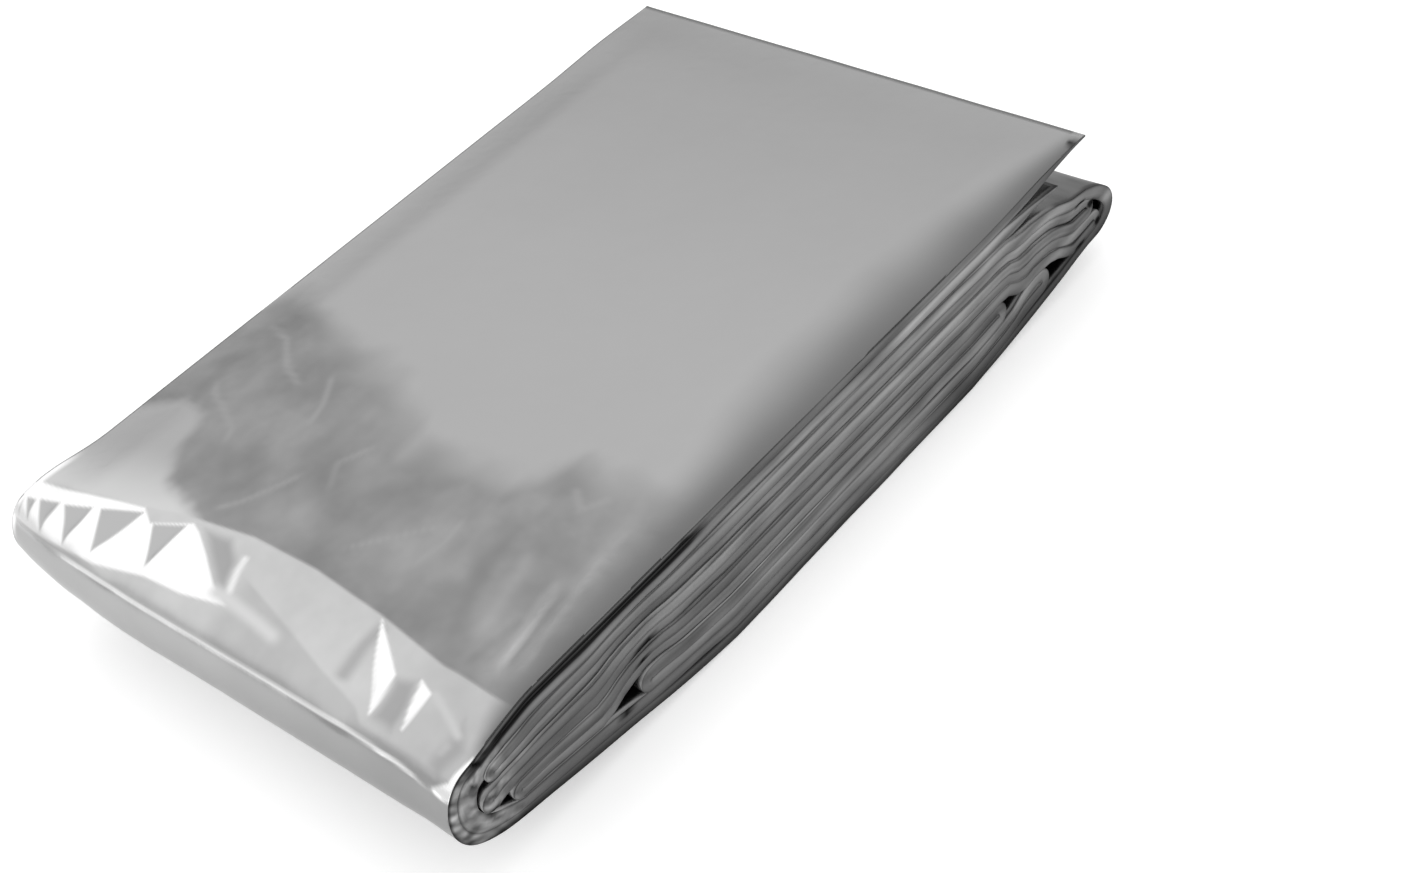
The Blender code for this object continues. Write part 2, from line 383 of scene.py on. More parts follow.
def curve_through(points, spacing):
    """A smooth curve from the second to the last but one point, without its ends."""
    made = []
    for before, start, end, after in zip(points, points[1:], points[2:], points[3:]):
        count = math.ceil(float(numpy.linalg.norm(end - start)) / spacing)
        for step in range(count):
            share = step / count
            bend = 2.0 * before - 5.0 * start + 4.0 * end - after
            rest = 3.0 * start - before - 3.0 * end + after
            twice = 2.0 * start + (end - before) * share + bend * share ** 2 + rest * share ** 3
            made.append(0.5 * twice)
    return numpy.array(made[1:])


def nose_line(rows, inset):
    """A big turn's points, moved in by inset at right angles, without its end points."""
    points = numpy.array([(row["y"], row["z"]) for row in rows])
    way = points[2:] - points[:-2]
    way /= numpy.linalg.norm(way, axis=1)[:, None]
    return points[1:-1] + inset * numpy.stack([-way[:, 1], way[:, 0]], axis=1)


def turn_line(before, after, first, second):
    """The turn between two runs, given the lines of both."""
    pair = {before["layer"], after["layer"]}
    if pair == {LAYER_COUNT - 1, 0}:
        middle = nose_line(FRONT_NOSE, 0.0)
    elif pair == {LAYER_COUNT - 2, 1}:
        middle = nose_line(FRONT_NOSE, NOSE_PITCH)[::-1]
    elif pair == {LAYER_COUNT - 3, 0}:
        middle = nose_line(BACK_NOSE, 0.0)
    else:
        centre = (first[-1] + second[0]) / 2.0
        half = (first[-1][1] - second[0][1]) / 2.0
        towards = numpy.sign(first[-1][0] - first[-2][0])
        angles = math.pi * numpy.arange(1, BEND_STEPS) / BEND_STEPS
        y = centre[0] + towards * abs(half) * numpy.sin(angles)
        return numpy.stack([y, centre[1] + half * numpy.cos(angles)], axis=1)
    spacing = COVER_NOSE_STEP if LAYER_COUNT - 1 in pair else NOSE_STEP
    return curve_through([first[-3], first[-1], *middle, second[0], second[2]], spacing)


def reaches(layer, y):
    """True where a layer is there at all."""
    there = numpy.ones_like(y, dtype=bool)
    for fold in FOLDS:
        if layer in (fold["upper"], fold["lower"]):
            there &= (y >= fold["tip"]) if fold["end"] == "front" else (y <= fold["tip"])
    if layer >= LAYER_COUNT - 2:
        there &= y <= (COVER_BACK_EDGE if layer == LAYER_COUNT - 1 else SECOND_COVER_BACK_EDGE)
    return there


def room_beside(layer, y, others):
    """Half the distance to the nearest of the other layers, or none where the side is open."""
    here = layer_height(layer, y)
    room = numpy.full_like(y, numpy.inf)
    for other in others:
        distance = numpy.abs(layer_height(other, y) - here) / 2.0
        room = numpy.where(reaches(other, y), numpy.minimum(room, distance), room)
    return room


def run_facts(place, line):
    """What belongs to each point of a run: its right shift, its run and the room on both sides."""
    layer = RUNS[place]["layer"]
    y = line[:, 0]
    above = room_beside(layer, y, range(layer + 1, LAYER_COUNT))
    below = room_beside(layer, y, range(layer))
    cover_gap = 1.0 - smooth((y - COVER_GAP_TO) / COVER_GAP_OVER)
    most = mixed(BEAD_MOST, BACK_BEAD_MOST, smooth((y - BACK_BEAD_FROM) / BACK_BEAD_OVER))
    if layer == LAYER_COUNT - 1:
        below = mixed(numpy.minimum(below, most), COVER_LIP, cover_gap)
    above = numpy.where(numpy.isinf(above), HALF_THICKNESS, numpy.minimum(above - BEAD_GAP, most))
    below = numpy.where(numpy.isinf(below), HALF_THICKNESS, numpy.minimum(below - BEAD_GAP, most))
    first, second = (above, below) if place % 2 == 0 else (below, above)
    shift = numpy.full_like(y, RUNS[place]["right"])
    return numpy.stack([shift, numpy.full_like(y, float(place)), first, second], axis=1)


def folded_path():
    """The whole path: its points (y, z), and for each its right shift, run and room on both sides."""
    lines = [run_line(place) for place in range(len(RUNS))]
    facts = [run_facts(place, line) for place, line in enumerate(lines)]
    points, known = [lines[0]], [facts[0]]
    for place in range(1, len(RUNS)):
        turn = turn_line(RUNS[place - 1], RUNS[place], lines[place - 1], lines[place])
        share = (numpy.arange(len(turn)) + 1.0) / (len(turn) + 1.0)
        between = mixed(facts[place - 1][-1], facts[place][0], share[:, None])
        pair = {RUNS[place - 1]["layer"], RUNS[place]["layer"]}
        if pair == {LAYER_COUNT - 1, 0}:
            between[:, 3] = NOSE_PITCH / 2.0
        if pair == {LAYER_COUNT - 2, 1}:
            upper = 1.0 + UPPER_NOSE_FILL * eased(share, UPPER_NOSE)
            between[:, 2] += NOSE_FILL * numpy.sin(math.pi * share) * upper
            between[:, 3] = NOSE_PITCH / 2.0
        if pair == {LAYER_COUNT - 3, 0}:
            between[:, 3] += NOSE_FILL * numpy.sin(math.pi * share)
        points += [turn, lines[place]]
        known += [between, facts[place]]
    return numpy.concatenate(points), numpy.concatenate(known)


def settle(x, y, z):
    """Move points of the even pile to where the film really lies, all layers together."""
    height_share = z / TOP_LAYER
    right_share = smooth((x - STRIP_WIDTH / 2 + ROLL_WIDTH) / ROLL_WIDTH)
    left_share = smooth((-x - STRIP_WIDTH / 2 + ROLL_WIDTH) / ROLL_WIDTH)
    roll = RIGHT_ROLL * right_share + LEFT_ROLL * left_share
    roll *= 1.0 - smooth((y - ROLL_FADES_FROM) / ROLL_FADES_OVER)
    moved_z = z - roll * height_share ** 2

    slope_left = smooth((-x - STRIP_WIDTH / 2 + LEFT_SLOPE_WIDTH) / LEFT_SLOPE_WIDTH)
    later = SLOPE_FROM - LEFT_SLOPE_SHIFT * slope_left
    lift = slope_drop(y, SLOPE_FROM) - slope_drop(y, later)
    moved_z = moved_z + lift * height_share ** 2

    front_share = smooth((FRONT_ZONE - y) / FRONT_ZONE)
    corner = numpy.maximum(0.0, (-x - STRIP_WIDTH / 2 + CORNER_WIDTH) / CORNER_WIDTH)
    moved_y = y + CORNER_SETBACK * corner ** 2 * front_share
    wide_corner = numpy.maximum(0.0, (-x - STRIP_WIDTH / 2 + LOW_CORNER_WIDTH) / LOW_CORNER_WIDTH)
    low_share = smooth((LOW_CORNER_TOP - z) / LOW_CORNER_OVER)
    moved_y = moved_y + LOW_CORNER_SETBACK * wide_corner ** 2 * low_share * front_share

    for dent in DENTS:
        across = bump((x - dent["x"]) / dent["half"])
        near = bump(numpy.hypot(y - DENT_Y, z - DENT_Z) / DENT_REACH)
        push = dent["depth"] * across * near
        moved_y = moved_y + push / 2.0
        moved_z = moved_z - push
    return x, moved_y, moved_z


# Marks on the film of the cover, given in x and along

# Where the flat top ends and the front slope begins
SLOPE_LINE = ((-41, 5.6), (-32, 8.7), (-23, 11.0), (-19, 12.3), (-15, 13.2), (-6, 14.6), (5, 14.8),
              (17, 13.8), (29, 12.2), (36, 12.2), (41, 12.6))
# Back edge of the painted cloudy reflection on the top
CLOUDY_REFLECTION_LINE = ((-41, 47), (-37, 51), (-30, 49), (-24, 46.5), (-15, 45), (-7, 41.5), (-2, 39), (0, 36),
              (6, 36.5), (12, 37.5), (16, 37), (19, 41), (21, 45), (25, 43.5), (30, 44), (41, 44))
# A clear patch in the painted cloudy reflection, painted brighter towards the slope
CLEAR_PATCH = ((-42, 5), (-42, 22.5), (-39, 23.5), (-34.5, 27), (-30, 26), (-27.8, 20), (-24.5, 15.5),
               (-18, 13.8), (-15, 12.5), (-23, 10), (-32, 8))
# Field of painted highlight on the front slope at the left, above the crease
HIGHLIGHT_GROUND = ((-42, 5.4), (-32, 8.6), (-23, 10.9), (-20.8, 9.6), (-15.2, 12.4), (-13.6, 11.8),
                (-10.2, 9.8), (-6.2, 7.2), (-2.4, 5.7), (-9.5, 4.2), (-15.8, 3.7), (-24, 1.9),
                (-30.5, 1.4), (-42, 1.0))
# Teeth: darker facets inside the painted highlight, a painted darker reflection over a small sunk relief
TEETH = (
    ((-39.6, 3.2), (-38.9, 3.5), (-38.3, 1.7)),
    ((-38.6, 3.7), (-37.3, 4.2), (-36.6, 1.9)),
    ((-36.9, 4.6), (-34.3, 5.8), (-34.1, 1.6)),
    ((-33.6, 5.9), (-29.8, 7.5), (-30.1, 1.8)),
    ((-28.5, 7.9), (-22.6, 10.4), (-25.2, 2.8)),
    ((-20.3, 9.7), (-15.9, 11.8), (-17.1, 4.8)),
)
# Streaks of painted highlight, each on a small raised fold
HIGHLIGHT_STREAKS = (
    ((17.8, 13.4), (21.3, 10.9), (24.4, 8.6), (24.8, 3.1), (21.4, 7.6)),
    ((27.8, 9.6), (30.0, 8.8), (29.9, 3.6), (28.6, 6.4)),
    ((39.3, 5.4), (40.4, 5.4), (40.4, -1.5), (38.6, -1.0), (36.6, 0.4), (38.6, 1.8)),
)
# Wedges of painted shade beside the highlight streaks, each sunk a little
SHADED_WEDGES = (
    ((24.6, 8.4), (27.4, 9.4), (28.6, 6.2), (29.0, 2.8), (25.2, 3.0)),
    ((-13.4, 12.6), (-8.6, 13.2), (-5.6, 11.0), (-3.9, 6.6), (-6.0, 7.4), (-10.0, 10.0)),
    ((35.5, 8.5), (38.2, 5.4), (37.2, 0.8), (35.0, 2.2)),
)
# Where the painted shade on the right rim begins, as along and x
RIM_LINE = ((4, 38.4), (8, 37.2), (14, 35.5), (20, 34.5), (45, 31), (70, 28), (90, 28.5), (105, 30.5),
            (118, 34), (128, 37))
# Below this line the right part of the slope has a darker painted reflection
DIAGONAL = ((-3.0, 9.8), (8.0, 7.0), (15.0, 5.0), (22.5, 3.2), (24.5, 2.0))
# Line of the front crease, which carries a painted highlight
CREASE_LINE = ((-41, 0.6), (22, 0.9), (27, 0.8), (33, 0.5), (36.5, 0.0))
# Soft streaks of painted highlight and painted shade on the slope
SOFT_STREAKS = (
    {"line": ((-4.9, 12.4), (-4.4, 10.0), (-3.0, 6.4)), "half": 0.9, "base": 0.84},
    {"line": ((-7.0, 6.6), (-2.0, 6.4), (3.0, 5.9), (8.5, 5.1)), "half": 1.5, "base": 0.66},
    {"line": ((18.8, 13.8), (18.2, 9.8), (18.2, 7.4), (18.2, 4.4)), "half": 1.7, "base": 0.42},
    {"line": ((29.6, 9.2), (32.0, 8.3), (34.6, 7.2), (37.0, 6.0)), "half": 0.9, "base": 0.58},
)
# Wisps: thin lines of painted reflection within the cloudy reflection
WISPS = (
    {"line": ((-34.0, 32.5), (-31.5, 30.0), (-28.2, 28.6), (-24.0, 26.5), (-22.5, 23.5)), "half": 0.9},
    {"line": ((-8.5, 26.5), (-10.5, 21.5), (-12.5, 17.7), (-15.0, 14.8)), "half": 0.8},
    {"line": ((-37.0, 44.0), (-31.0, 42.5), (-26.5, 38.5), (-21.0, 36.5)), "half": 0.9},
    {"line": ((-20.0, 41.0), (-16.5, 36.0), (-15.0, 31.5)), "half": 0.8},
    {"line": ((13.8, 28.0), (10.0, 24.0), (5.0, 18.5)), "half": 0.5},
    {"line": ((15.0, 30.5), (15.6, 26.0), (14.8, 20.5)), "half": 0.7},
    {"line": ((-4.0, 34.0), (-6.5, 29.0), (-3.5, 24.5)), "half": 0.8},
    {"line": ((23.1, 41.0), (26.5, 38.3), (28.9, 42.0)), "half": 1.0},
)
# Long streaks of painted reflection, lighter or darker by their lift, each with a matching low relief
LONG_STREAKS = (
    {"line": ((-14.0, 31.0), (-5.0, 26.5), (3.0, 21.0)), "half": 5.0, "lift": -0.16},
    {"line": ((32.0, 29.0), (32.5, 24.4), (33.8, 19.8), (34.5, 14.0)), "half": 1.2, "lift": 0.22},
    {"line": ((32.4, 22.0), (32.0, 18.9), (31.2, 13.0)), "half": 1.1, "lift": -0.12},
    {"line": ((33.8, 29.0), (34.4, 22.5), (35.4, 15.0)), "half": 0.9, "lift": -0.14},
    {"line": ((21.5, 32.0), (23.2, 23.9), (25.0, 20.6), (27.2, 15.5)), "half": 2.0, "lift": -0.12},
    {"line": ((16.5, 35.0), (18.5, 28.1), (21.5, 21.0)), "half": 2.4, "lift": 0.12},
    {"line": ((25.8, 30.5), (28.0, 23.4), (29.8, 16.0)), "half": 1.7, "lift": 0.14},
    {"line": ((32.8, 41.0), (33.5, 33.8), (34.0, 29.1), (35.2, 22.0), (37.0, 14.5)),
     "half": 1.3, "lift": 0.12},
)

# A painted highlight spot and a painted shade spot at the cover's back right corner
CORNER_SPOTS = (
    {"line": ((37.6, 127.6), (39.9, 127.4)), "half": 1.0, "base": 0.90},
    {"line": ((38.2, 125.4), (39.9, 124.4)), "half": 1.0, "base": 0.03},
)

# Brightness painted into the film, region by region: painted reflections, highlights and shade
TOP_BASE = 0.43
TOP_BACK_BASE = 0.39
CLOUDY_REFLECTION_BASE = 0.29
WISP_BASE = 0.37
PATCH_BASE = 0.43
PATCH_LOW_BASE = 0.63
PATCH_REACH = 11.0
SLOPE_BASE = 0.58
SLOPE_LOW_BASE = 0.49
SLOPE_FADE = 0.14
HIGHLIGHT_BASE = 1.0
TOOTH_BASE = 0.48
WEDGE_BASE = 0.39
NOSE_BASE = 0.405
NOSE_FADE = 0.25
CREASE_BASE = 1.0
# painted shade of the film inside the pile and below the outer wrap
INNER_BASE = 0.25
INNER_MOTTLE = 0.22
INNER_DULLNESS = 0.6
# the outer wrap ends under the nose
UNDER_FROM = 16.0
UNDER_OVER = 8.0
# painted shade of the right rim
RIM_BASE = 0.17
# painted shade line along the inner faces' edges at the back
BACK_LINE_BASE = 0.05

# Painted shade and reflection bands on the side, by share of the pile's height, in the middle and towards
# the back
MIDDLE_BANDS = ((0.00, 0.04), (0.045, 0.065), (0.09, 0.12), (0.164, 0.138), (0.26, 0.195), (0.323, 0.107),
                (0.377, 0.168), (0.445, 0.125), (0.56, 0.144), (0.673, 0.202), (0.764, 0.117),
                (0.864, 0.205), (0.93, 0.13), (0.98, 0.10))
BACK_BANDS = ((0.00, 0.04), (0.03, 0.065), (0.136, 0.09), (0.25, 0.202), (0.33, 0.10), (0.42, 0.14),
              (0.53, 0.144), (0.655, 0.216), (0.71, 0.12), (0.795, 0.246), (0.84, 0.11), (0.91, 0.30),
              (0.96, 0.13), (1.00, 0.10))
BACK_BANDS_FROM = 78.0
BACK_BANDS_OVER = 14.0
BAND_SHARE = 1.12
BAND_GAIN = 0.34
BAND_GAIN_FROM = 22.0
BAND_GAIN_OVER = 50.0
BAND_DRIFT = 0.035
BAND_DRIFT_LENGTH = 22.0
BAND_MOTTLE = 0.16
BAND_MOTTLE_LENGTH = 5.0
# painted shade at the seams between layers and on the ledges
SEAM_SHARE = 0.5
LEDGE_SHARE = 0.5
# Painted shade in small pits in the side, where plies stand open
PITS = (
    {"y": 31.2, "z": 12.9, "long": 1.4, "high": 0.8},
    {"y": 26.6, "z": 5.9, "long": 1.5, "high": 0.7},
    {"y": 40.6, "z": 21.3, "long": 1.3, "high": 0.5},
    {"y": 30.5, "z": 11.2, "long": 0.8, "high": 0.5},
    {"y": 124.3, "z": 12.7, "long": 1.2, "high": 0.5},
    {"y": 127.2, "z": 10.9, "long": 0.9, "high": 0.6},
    {"y": 128.6, "z": 7.0, "long": 0.9, "high": 0.6},
    {"y": 124.0, "z": 5.8, "long": 1.2, "high": 0.5},
)
DEEP_SHADE_BASE = 0.02

# Depth of the marks in the film
TOOTH_DEPTH = 0.10
STREAK_HEIGHT = 0.12
WEDGE_DEPTH = 0.10
CREASE_HEIGHT = 0.02
CREASE_HALF = 0.38
CREASE_GAIN = 1.6
LONG_STREAK_DEPTH = 0.05
SLOW_WAVE = 0.05
SLOW_WAVE_LENGTH = 14.0
CRUMPLE = 0.05
CRUMPLE_LENGTH = 4.0

# Noise over the film: the length of its waves, and its seed
ROUGH = (3.0, 1.0)
FINE_ROUGH = (1.2, 2.0)
BROAD = (9.0, 3.0)
SLOW = (SLOW_WAVE_LENGTH, 4.0)
CRUMPLES = (CRUMPLE_LENGTH, 5.0)
RAGGED = (6.0, 6.0)
INSIDE = (5.0, 7.0)
DRIFT = (BAND_DRIFT_LENGTH, 11.0)
MOTTLE = (BAND_MOTTLE_LENGTH, 12.0)
NOSE_SPECKS = (1.3, 13.0)
FINE_ROUGH_SHARE = 0.5

# Where the painted brightness changes, and over what distance
TOP_DARKENS = {"from": 60.0, "over": 60.0}
LOW_SLOPE = {"from": -4.0, "over": 4.0}
SLOPE_DARKENS = {"from": 20.0, "over": 18.0}
NOSE_DARKENS = {"from": -10.0, "over": 45.0}
CREASE_RIGHT_END = {"from": 36.5, "over": -5.0}
CREASE_LEFT_END = {"from": -34.0, "over": 10.0}
RIM_STARTS = {"from": 4.0, "over": 4.0}
LEFT_RIM = {"from": -38.2, "over": -0.8}
LEFT_RIM_LOW = {"from": -2.0, "over": 3.0}
LEFT_RIM_HIGH = {"from": 14.0, "over": -5.0}
LIFT_FADES = 1.5
STROKE_ENDS = 0.15
WISP_STRENGTH = 0.6
# Widths of the soft borders between regions
CLOUD_BORDER = 8.0
PATCH_BORDER = 3.0
CRISP_BORDER = 0.5
DIAGONAL_BORDER = 0.7
TOOTH_BORDER = 0.45
CREASE_BORDER = 0.6
# How ragged the borders are, and how uneven the regions
CLOUD_RAGGED = 1.4
CLOUD_ROUGH = 0.6
PATCH_ROUGH = 0.08
RIM_RAGGED = 0.5
CLOUD_UNEVEN = (0.14, 0.06)
SLOPE_UNEVEN = (0.04, 0.03)
NOSE_UNEVEN = 0.05
# How a mark's painted brightness and relief grow from its outline inwards
WEDGE_TONE = {"from": -0.63, "over": 1.8}
WEDGE_SINKS = {"from": 0.0, "over": 1.4}
TOOTH_SINKS = {"from": -0.18, "over": 0.9}
STREAK_RISES = {"from": -0.09, "over": 0.9}

# On the long edges: how far each seam, lip and speck reaches; seams and lip carry painted shade, specks
# painted glints and shade
SEAM_POWER = 6
DRIFT_STRETCH = 0.5
MOTTLE_STRETCH = 3.0
LIP_BELOW = {"from": 0.5, "over": -0.4}
BESIDE_LIP = {"from": -0.2, "over": -0.4}
OUTLINE_ABOVE = {"from": 0.2, "over": 0.4}
BESIDE_RUN = 10.0
FRONT_SPECKS = {"from": 4.0, "over": 7.0}
SPECK_LIFT = 0.25
SPECK_CONTRAST = 1.2
PIT_REACH = {"from": 1.2, "over": -0.5}
STREAK_CONTRAST = 0.12
# and how far the edge's painted shade reaches on to the inner faces, and how much painted shade darkens them
# at the back
BY_THE_EDGE = {"from": 38.0, "over": 1.2}
AT_BACK = {"from": 116.0, "over": 3.0}
BACK_DARKENS = 0.45
INSIDE_UNEVEN = 0.2


def line_at(line, x):
    """Height of a given line over x."""
    return numpy.interp(x, [point[0] for point in line], [point[1] for point in line])


def from_line(line, x, along):
    """Distance of points from a given line, and how far they lie along it from 0 to 1."""
    nearest = numpy.full(x.shape, numpy.inf)
    share = numpy.zeros(x.shape)
    spans = len(line) - 1
    for place, (start, end) in enumerate(zip(line, line[1:])):
        way_x, way_y = end[0] - start[0], end[1] - start[1]
        part = ((x - start[0]) * way_x + (along - start[1]) * way_y) / (way_x ** 2 + way_y ** 2)
        part = numpy.clip(part, 0.0, 1.0)
        distance = numpy.hypot(x - start[0] - part * way_x, along - start[1] - part * way_y)
        share = numpy.where(distance < nearest, (place + part) / spans, share)
        nearest = numpy.minimum(nearest, distance)
    return nearest, share


def depth_inside(corners, x, along):
    """Distance of points inside a closed outline, negative outside it."""
    edge, _ = from_line((*corners, corners[0]), x, along)
    within = numpy.zeros(x.shape, dtype=bool)
    for start, end in zip(corners, (*corners[1:], corners[0])):
        crosses = (start[1] > along) != (end[1] > along)
        height = end[1] - start[1] if end[1] != start[1] else 1.0
        meets = start[0] + (along - start[1]) / height * (end[0] - start[0])
        within ^= crosses & (x < meets)
    return numpy.where(within, edge, -edge)


def stroke(mark, x, along):
    """1 on a mark's line, 0 beyond its half width and towards its ends."""
    distance, share = from_line(mark["line"], x, along)
    ends = smooth(share / STROKE_ENDS) * smooth((1.0 - share) / STROKE_ENDS)
    return bump(distance / mark["half"]) * ends


def field(x, along, kind):
    """Even noise over the film, between about -1 and 1."""
    length, seed = kind
    flat = zip(x.ravel() / length, along.ravel() / length)
    values = [noise.noise((across, up, seed * FIELD_SEED_STEP)) * NOISE_GAIN for across, up in flat]
    return numpy.array(values).reshape(x.shape)


def out_of_sight(along):
    """0 on the outer wrap that shows in front and on top, 1 on all the film below and behind it."""
    return smooth((-along - UNDER_FROM) / UNDER_OVER)


def cover_marks(x, along):
    """Painted brightness of the film, its painted reflections, highlights and shade, and how far it stands
    out, for points of the outer wrap.
    """
    rough = field(x, along, ROUGH) + FINE_ROUGH_SHARE * field(x, along, FINE_ROUGH)
    broad = field(x, along, BROAD)
    lift = SLOW_WAVE * field(x, along, SLOW)

    # The top is painted darker towards the back: a painted reflection gradient
    base = mixed(TOP_BASE, TOP_BACK_BASE, eased(along, TOP_DARKENS))
    # Painted cloudy reflection on the top, broken by a clear patch that is painted brighter near the slope
    cloud_edge = line_at(CLOUDY_REFLECTION_LINE, x) + CLOUD_RAGGED * field(x, along, RAGGED) + CLOUD_ROUGH * rough
    cloud = across_border(cloud_edge - along, CLOUD_BORDER)
    patch_depth = depth_inside(CLEAR_PATCH, x, along) + PATCH_BORDER * PATCH_ROUGH * rough
    patch = across_border(patch_depth, PATCH_BORDER)
    cloud = cloud * (1.0 - patch)
    inner = CLOUDY_REFLECTION_BASE * (1.0 + CLOUD_UNEVEN[0] * broad + CLOUD_UNEVEN[1] * rough)
    base = mixed(base, inner, cloud)
    near_line = smooth(1.0 - (along - line_at(SLOPE_LINE, x)) / PATCH_REACH)
    base = mixed(base, mixed(PATCH_BASE, PATCH_LOW_BASE, near_line), patch)
    # Wisps of painted reflection
    for wisp in WISPS:
        base = mixed(base, WISP_BASE, WISP_STRENGTH * stroke(wisp, x, along))
    # Painted reflection streaks, with a matching low relief
    for streak in LONG_STREAKS:
        strength = stroke(streak, x, along)
        base = base * (1.0 + streak["lift"] * strength)
        lift = lift + numpy.sign(streak["lift"]) * LONG_STREAK_DEPTH * strength
    lift = lift + CRUMPLE * cloud * field(x, along, CRUMPLES)

    # The front slope is painted brighter, a painted reflection of the light it faces; below the diagonal its
    # right part is painted darker
    slope = across_border(line_at(SLOPE_LINE, x) - along, CRISP_BORDER)
    low = across_border(line_at(DIAGONAL, x) - along, DIAGONAL_BORDER) * eased(x, LOW_SLOPE)
    slope_base = mixed(SLOPE_BASE, SLOPE_LOW_BASE, low) * (1.0 - SLOPE_FADE * eased(x, SLOPE_DARKENS))
    slope_base = slope_base * (1.0 + SLOPE_UNEVEN[0] * broad + SLOPE_UNEVEN[1] * rough)
    base = mixed(base, slope_base, slope)
    # Painted highlight on the front slope at the left
    ground = across_border(depth_inside(HIGHLIGHT_GROUND, x, along), CRISP_BORDER)
    base = mixed(base, HIGHLIGHT_BASE, ground)
    # Wedges of painted shade, sunk a little
    for corners in SHADED_WEDGES:
        depth = depth_inside(corners, x, along)
        base = mixed(base, WEDGE_BASE, eased(depth, WEDGE_TONE))
        lift = lift - WEDGE_DEPTH * eased(depth, WEDGE_SINKS)
    # Soft streaks of painted highlight and painted shade
    for streak in SOFT_STREAKS:
        base = mixed(base, streak["base"], stroke(streak, x, along))
    # Teeth of painted darker reflection, each sunk a little
    for corners in TEETH:
        depth = depth_inside(corners, x, along)
        base = mixed(base, TOOTH_BASE, across_border(depth, TOOTH_BORDER))
        lift = lift - TOOTH_DEPTH * eased(depth, TOOTH_SINKS)
    # Painted highlight streaks on small raised folds
    for corners in HIGHLIGHT_STREAKS:
        depth = depth_inside(corners, x, along)
        base = mixed(base, HIGHLIGHT_BASE, across_border(depth, CRISP_BORDER))
        lift = lift + STREAK_HEIGHT * eased(depth, STREAK_RISES)

    crease = line_at(CREASE_LINE, x)
    # Below the crease the nose is painted darker grey, darker towards the right: a painted reflection of the
    # floor with painted shade
    below = across_border(crease - along, CREASE_BORDER)
    nose = NOSE_BASE * (1.0 + NOSE_UNEVEN * broad) * (1.0 - NOSE_FADE * eased(x, NOSE_DARKENS))
    base = mixed(base, nose, below)
    # Painted highlight along the crease, fading at both ends
    on_crease = numpy.minimum(1.0, CREASE_GAIN * bump((along - crease) / CREASE_HALF))
    on_crease = on_crease * eased(x, CREASE_RIGHT_END) * eased(x, CREASE_LEFT_END)
    base = mixed(base, CREASE_BASE, on_crease)
    lift = lift + CREASE_HEIGHT * bump((along - crease) / (2.0 * CREASE_HALF))

    # Painted shade along the right rim
    rim_from = numpy.interp(along, *zip(*RIM_LINE))
    rim = smooth((x - rim_from - RIM_RAGGED * broad) / (STRIP_WIDTH / 2 - rim_from))
    rim = rim * eased(along, RIM_STARTS)
    base = mixed(base, RIM_BASE, rim)
    # Painted highlight and painted shade spots at the back right corner
    for spot in CORNER_SPOTS:
        base = mixed(base, spot["base"], stroke(spot, x, along))
    # Painted highlight on the left rim where the cover turns down at the front
    left_rim = eased(x, LEFT_RIM) * eased(along, LEFT_RIM_LOW) * eased(along, LEFT_RIM_HIGH)
    base = mixed(base, HIGHLIGHT_BASE, left_rim)
    # The film below and behind the outer wrap gets the inner layers' painted shade
    under = out_of_sight(along)
    base = mixed(base, INNER_BASE * (1.0 + INNER_MOTTLE * rough), under)
    fade = smooth((STRIP_WIDTH / 2 - numpy.abs(x)) / LIFT_FADES)
    return base, lift * fade * (1.0 - under)


# Film mesh


def half_thickness(points, travelled):
    """Half the thickness of the plies at each row, and how much of it the free ends have."""
    y = points[:, 0]
    swell = smooth((y - SWELL_FROM) / SWELL_OVER) * smooth((SWELL_TO - y) / SWELL_OVER)
    from_free_end = numpy.minimum(travelled, travelled[-1] - travelled)
    return HALF_THICKNESS + MIDDLE_SWELL * swell, smooth(from_free_end / FREE_EDGE_OVER)


def loop_template(columns):
    """One turn round the strip: for each point its place across, its side, and 1 to -1 through it."""
    down = numpy.array(EDGE_PLACES)
    back = numpy.array(COARSE_COLUMNS)[::-1]
    edge = numpy.ones(len(down))
    x = numpy.concatenate([columns, columns[-1] * edge, back, back[-1] * edge])
    through = numpy.concatenate([numpy.ones(len(columns)), down, -numpy.ones(len(back)), -down])
    side = numpy.concatenate([numpy.zeros(len(columns)), edge, numpy.zeros(len(back)), -edge])
    return x, through, side


